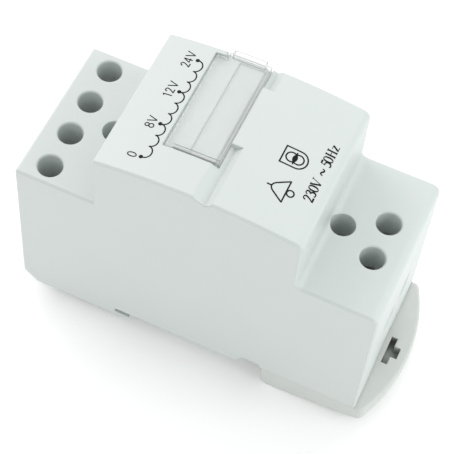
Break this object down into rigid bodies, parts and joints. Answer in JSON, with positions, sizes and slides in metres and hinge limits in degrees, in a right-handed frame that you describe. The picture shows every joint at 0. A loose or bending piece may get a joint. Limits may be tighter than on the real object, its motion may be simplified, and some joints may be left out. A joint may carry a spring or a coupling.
{
  "type": "doorbell transformer",
  "caption": "Rail-mounted doorbell transformer: stepped white housing with a crowned nose, recessed clamp screws, hinged label window and a sliding rail clip.",
  "frame": {"origin": "on the rail's contact plane, midway across and under the middle of the nose", "axes": "+X along the housing from the secondary screws to the clip, +Y across it to the open end of the label window, +Z away from the rail"},
  "size_m": [0.0868, 0.036, 0.0634],
  "materials": {
    "casing": "fine satin, white",
    "clip": "satin, pale grey",
    "window": "clear",
    "card": "plain card",
    "lamination": "varnished sheet",
    "former": "moulded",
    "copper": "enamelled copper wire",
    "tape": "polyester film",
    "plated_steel": "zinc plated",
    "terminal_brass": "plain",
    "lead_strip": "tinned strip",
    "marking_ink": "black print"
  },
  "bodies": {
    "housing": {"front_shell": "casing", "rear_base": "casing", "label_card": "card", "core_e_stack": "lamination", "core_i_stack": "lamination", "bobbin": "former", "secondary_winding": "copper", "primary_winding": "copper", "secondary_tape": "tape", "primary_tape": "tape", "case_screw_left": "plated_steel", "case_screw_right": "plated_steel", "terminal_bar_0v": "terminal_brass", "terminal_bar_8v": "terminal_brass", "terminal_bar_12v": "terminal_brass", "terminal_bar_24v": "terminal_brass", "terminal_bar_line": "terminal_brass", "terminal_bar_neutral": "terminal_brass", "lead_0v": "lead_strip", "lead_8v": "lead_strip", "lead_12v": "lead_strip", "lead_24v": "lead_strip", "lead_line": "lead_strip", "lead_neutral": "lead_strip"},
    "rail_clip": {"rail_clip": "clip"},
    "label_cover": {"label_cover": "window"},
    "clamp_screw_0v": {"clamp_screw_0v": "plated_steel"},
    "clamp_cage_0v": {"clamp_cage_0v": "plated_steel"},
    "clamp_screw_8v": {"clamp_screw_8v": "plated_steel"},
    "clamp_cage_8v": {"clamp_cage_8v": "plated_steel"},
    "clamp_screw_12v": {"clamp_screw_12v": "plated_steel"},
    "clamp_cage_12v": {"clamp_cage_12v": "plated_steel"},
    "clamp_screw_24v": {"clamp_screw_24v": "plated_steel"},
    "clamp_cage_24v": {"clamp_cage_24v": "plated_steel"},
    "clamp_screw_line": {"clamp_screw_line": "plated_steel"},
    "clamp_cage_line": {"clamp_cage_line": "plated_steel"},
    "clamp_screw_neutral": {"clamp_screw_neutral": "plated_steel"},
    "clamp_cage_neutral": {"clamp_cage_neutral": "plated_steel"}
  },
  "joints": [
    {"name": "clip_slide", "type": "slide", "parent": "housing", "child": "rail_clip", "axis": [1, 0, 0], "range_m": [0, 0.0035]},
    {"name": "cover_hinge", "type": "hinge", "parent": "housing", "child": "label_cover", "pos_m": [-0.01065, 0, 0.05595], "axis": [0, -1, 0], "range_deg": [0, 95]},
    {"name": "screw_turn_0v", "type": "hinge", "parent": "housing", "child": "clamp_screw_0v", "pos_m": [-0.0344, -0.01365, 0.0306], "axis": [0, 0, -1], "range_deg": [0, 2340]},
    {"name": "cage_rise_0v", "type": "slide", "parent": "housing", "child": "clamp_cage_0v", "axis": [0, 0, 1], "range_m": [0, 0.00325]},
    {"name": "screw_turn_8v", "type": "hinge", "parent": "housing", "child": "clamp_screw_8v", "pos_m": [-0.0344, -0.00455, 0.0306], "axis": [0, 0, -1], "range_deg": [0, 2340]},
    {"name": "cage_rise_8v", "type": "slide", "parent": "housing", "child": "clamp_cage_8v", "axis": [0, 0, 1], "range_m": [0, 0.00325]},
    {"name": "screw_turn_12v", "type": "hinge", "parent": "housing", "child": "clamp_screw_12v", "pos_m": [-0.0344, 0.00455, 0.0306], "axis": [0, 0, -1], "range_deg": [0, 2340]},
    {"name": "cage_rise_12v", "type": "slide", "parent": "housing", "child": "clamp_cage_12v", "axis": [0, 0, 1], "range_m": [0, 0.00325]},
    {"name": "screw_turn_24v", "type": "hinge", "parent": "housing", "child": "clamp_screw_24v", "pos_m": [-0.0344, 0.01365, 0.0306], "axis": [0, 0, -1], "range_deg": [0, 2340]},
    {"name": "cage_rise_24v", "type": "slide", "parent": "housing", "child": "clamp_cage_24v", "axis": [0, 0, 1], "range_m": [0, 0.00325]},
    {"name": "screw_turn_line", "type": "hinge", "parent": "housing", "child": "clamp_screw_line", "pos_m": [0.03375, -0.00455, 0.0306], "axis": [0, 0, -1], "range_deg": [0, 2340]},
    {"name": "cage_rise_line", "type": "slide", "parent": "housing", "child": "clamp_cage_line", "axis": [0, 0, 1], "range_m": [0, 0.00325]},
    {"name": "screw_turn_neutral", "type": "hinge", "parent": "housing", "child": "clamp_screw_neutral", "pos_m": [0.03375, 0.00455, 0.0306], "axis": [0, 0, -1], "range_deg": [0, 2340]},
    {"name": "cage_rise_neutral", "type": "slide", "parent": "housing", "child": "clamp_cage_neutral", "axis": [0, 0, 1], "range_m": [0, 0.00325]}
  ],
  "couplings": [
    {"joint": "screw_turn_0v", "follows": "cage_rise_0v", "rad_per_m": 12566},
    {"joint": "screw_turn_8v", "follows": "cage_rise_8v", "rad_per_m": 12566},
    {"joint": "screw_turn_12v", "follows": "cage_rise_12v", "rad_per_m": 12566},
    {"joint": "screw_turn_24v", "follows": "cage_rise_24v", "rad_per_m": 12566},
    {"joint": "screw_turn_line", "follows": "cage_rise_line", "rad_per_m": 12566},
    {"joint": "screw_turn_neutral", "follows": "cage_rise_neutral", "rad_per_m": 12566}
  ]
}
